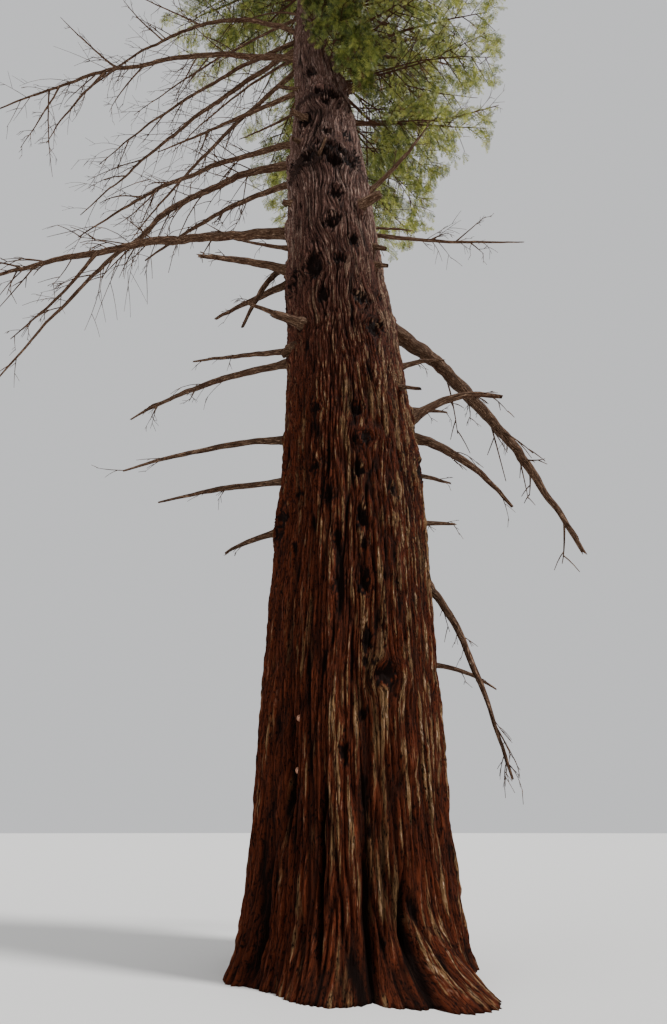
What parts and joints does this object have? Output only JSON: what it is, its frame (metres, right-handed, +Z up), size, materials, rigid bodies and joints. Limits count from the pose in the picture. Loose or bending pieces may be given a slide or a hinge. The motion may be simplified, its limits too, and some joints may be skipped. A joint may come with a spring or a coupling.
{
  "type": "coast redwood tree",
  "caption": "Tall old conifer with a leaning, fluted trunk, bare dead limbs low down and a live crown of needle sprays.",
  "frame": {"origin": "middle of the flat cut under the trunk, at ground level", "axes": "+Z straight up the tree from the level ground; -Y is the side seen in the picture, where the trunk leans towards -X and the bare limbs hang on -X"},
  "size_m": [14.177, 10.8389, 40],
  "materials": {
    "trunk_bark": "thick fibrous furrowed bark, red-brown in the furrows and grey-tan on the weathered ridges",
    "dead_wood": "weathered grey-brown bare wood and flaking bark",
    "bough_bark": "thin flaking brown bark",
    "needles": "olive and dark green needle sprays with brown twigs, matt"
  },
  "bodies": {
    "root": {"trunk": "trunk_bark", "limb_left_01": "dead_wood", "limb_left_02": "dead_wood", "limb_left_03": "dead_wood", "limb_left_04": "dead_wood", "limb_left_05": "dead_wood", "limb_left_06": "dead_wood", "limb_left_07": "dead_wood", "limb_left_08": "dead_wood", "limb_left_09": "dead_wood", "limb_left_10": "dead_wood", "limb_left_11": "dead_wood", "limb_left_12": "dead_wood", "limb_left_13": "dead_wood", "limb_left_14": "dead_wood", "limb_left_15": "dead_wood", "limb_left_16": "dead_wood", "limb_left_17": "dead_wood", "limb_left_18": "dead_wood", "limb_right_01": "dead_wood", "limb_right_02": "dead_wood", "limb_right_03": "dead_wood", "limb_right_04": "dead_wood", "limb_right_05": "dead_wood", "limb_right_06": "dead_wood", "limb_right_07": "dead_wood", "bough_base_1": "bough_bark", "bough_base_2": "bough_bark", "bough_low_1": "bough_bark", "bough_low_2": "bough_bark", "bough_low_3": "bough_bark", "bough_open_1": "bough_bark", "bough_open_2": "bough_bark", "bough_open_3": "bough_bark", "foliage_base_1": "needles", "foliage_base_2": "needles", "foliage_low_1": "needles", "foliage_low_2": "needles", "foliage_low_3": "needles", "foliage_open_1": "needles", "foliage_open_2": "needles", "foliage_open_3": "needles", "foliage_middle_1": "needles", "foliage_middle_2": "needles", "foliage_middle_3": "needles", "foliage_middle_4": "needles", "foliage_middle_5": "needles", "foliage_high_1": "needles", "foliage_high_2": "needles", "foliage_high_3": "needles", "foliage_high_4": "needles", "foliage_high_5": "needles", "foliage_upper_1": "needles", "foliage_upper_2": "needles", "foliage_upper_3": "needles", "foliage_upper_4": "needles", "foliage_peak_1": "needles", "foliage_peak_2": "needles", "foliage_peak_3": "needles", "foliage_top": "needles"}
  },
  "joints": []
}
